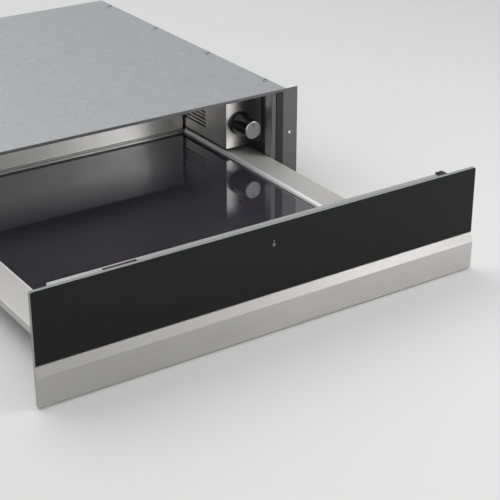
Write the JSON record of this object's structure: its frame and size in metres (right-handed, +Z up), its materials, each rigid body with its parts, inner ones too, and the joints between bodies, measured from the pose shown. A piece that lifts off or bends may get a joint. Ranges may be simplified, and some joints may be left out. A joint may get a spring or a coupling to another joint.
{
  "type": "built-in warming drawer",
  "caption": "Built-in warming drawer: steel housing with fan box and knob, and a pull-out tray with a glass hot plate behind a black glass and stainless steel front.",
  "frame": {"origin": "on the underside of the housing base, in the middle of its width, in the plane of the cabinet's front edge", "axes": "+X to the right as seen from the front, +Y into the cabinet, +Z up; the drawer pulls out along -Y"},
  "size_m": [0.595, 0.9348, 0.137],
  "materials": {
    "brushed_stainless": "brushed",
    "polished_stainless": "polished",
    "galvanised_sheet": "galvanised",
    "grey_frame": "satin",
    "black_glass": "gloss, printed black on the back",
    "plate_glass": "gloss",
    "black_rubber": "matt",
    "zinc_steel": "zinc plated",
    "black_plastic": "fine grain",
    "knob_metal": "turned",
    "lamp_lens": "gloss",
    "fan_aluminium": "satin",
    "motor_steel": "satin",
    "heater_steel": "heat tinted",
    "mineral_wool": "matt",
    "heater_foil": "foil",
    "board_green": "satin",
    "white_ceramic": "satin"
  },
  "bodies": {
    "housing": {"housing_base": "galvanised_sheet", "housing_top": "galvanised_sheet", "housing_back": "galvanised_sheet", "housing_side_left": "galvanised_sheet", "housing_side_right": "galvanised_sheet", "front_frame_top": "grey_frame", "front_frame_left": "grey_frame", "front_frame_right": "grey_frame", "frame_seal_left": "black_rubber", "frame_seal_right": "black_rubber", "runner_bracket_left": "galvanised_sheet", "runner_bracket_right": "galvanised_sheet", "runner_outer_left": "zinc_steel", "runner_outer_right": "zinc_steel", "push_latch_body": "black_plastic", "fan_box_front": "polished_stainless", "fan_box_side": "polished_stainless", "fan_box_floor": "galvanised_sheet", "fan_box_back": "galvanised_sheet", "selector_switch": "black_plastic", "pilot_lamp": "lamp_lens", "fan_scroll": "galvanised_sheet", "fan_motor": "motor_steel", "air_heater": "heater_steel", "thermal_cutout": "white_ceramic", "terminal_block": "white_ceramic", "cable_gland": "black_plastic"},
    "drawer": {"drawer_tray": "brushed_stainless", "drawer_back_wall": "polished_stainless", "hot_plate": "plate_glass", "plate_seal": "black_rubber", "heater_mat": "heater_foil", "insulation_pad": "mineral_wool", "front_glass": "black_glass", "front_strip": "brushed_stainless", "front_carrier": "brushed_stainless", "front_inner_panel": "brushed_stainless", "lip_bumper": "black_rubber", "control_board": "board_green", "front_tie_left": "galvanised_sheet", "front_tie_right": "galvanised_sheet", "runner_inner_left": "zinc_steel", "runner_inner_right": "zinc_steel", "latch_striker": "zinc_steel"},
    "left_runner_slide": {"runner_middle_left": "zinc_steel"},
    "right_runner_slide": {"runner_middle_right": "zinc_steel"},
    "knob": {"knob_body": "black_plastic", "knob_cap": "knob_metal", "selector_shaft": "zinc_steel"},
    "fan": {"fan_wheel": "fan_aluminium"},
    "latch": {"latch_plunger": "black_plastic"}
  },
  "joints": [
    {"name": "drawer_slide", "type": "slide", "parent": "housing", "child": "drawer", "axis": [0, -1, 0], "range_m": [-0.356, 0.072]},
    {"name": "left_runner", "type": "slide", "parent": "housing", "child": "left_runner_slide", "axis": [0, -1, 0], "range_m": [-0.178, 0.036]},
    {"name": "right_runner", "type": "slide", "parent": "housing", "child": "right_runner_slide", "axis": [0, -1, 0], "range_m": [-0.178, 0.036]},
    {"name": "knob_turn", "type": "hinge", "parent": "housing", "child": "knob", "pos_m": [0.232, 0.04, 0.076], "axis": [0, 1, 0], "range_deg": [0, 270]},
    {"name": "fan_spin", "type": "hinge", "parent": "housing", "child": "fan", "pos_m": [0.246, 0.139, 0.078], "axis": [0, 1, 0], "continuous": true},
    {"name": "latch_push", "type": "slide", "parent": "housing", "child": "latch", "axis": [0, 1, 0], "range_m": [0, 0.006], "stiffness_N_per_m": 400, "springref_m": -0.002}
  ],
  "couplings": [
    {"joint": "left_runner", "follows": "drawer_slide", "ratio": 0.5},
    {"joint": "right_runner", "follows": "drawer_slide", "ratio": 0.5}
  ]
}
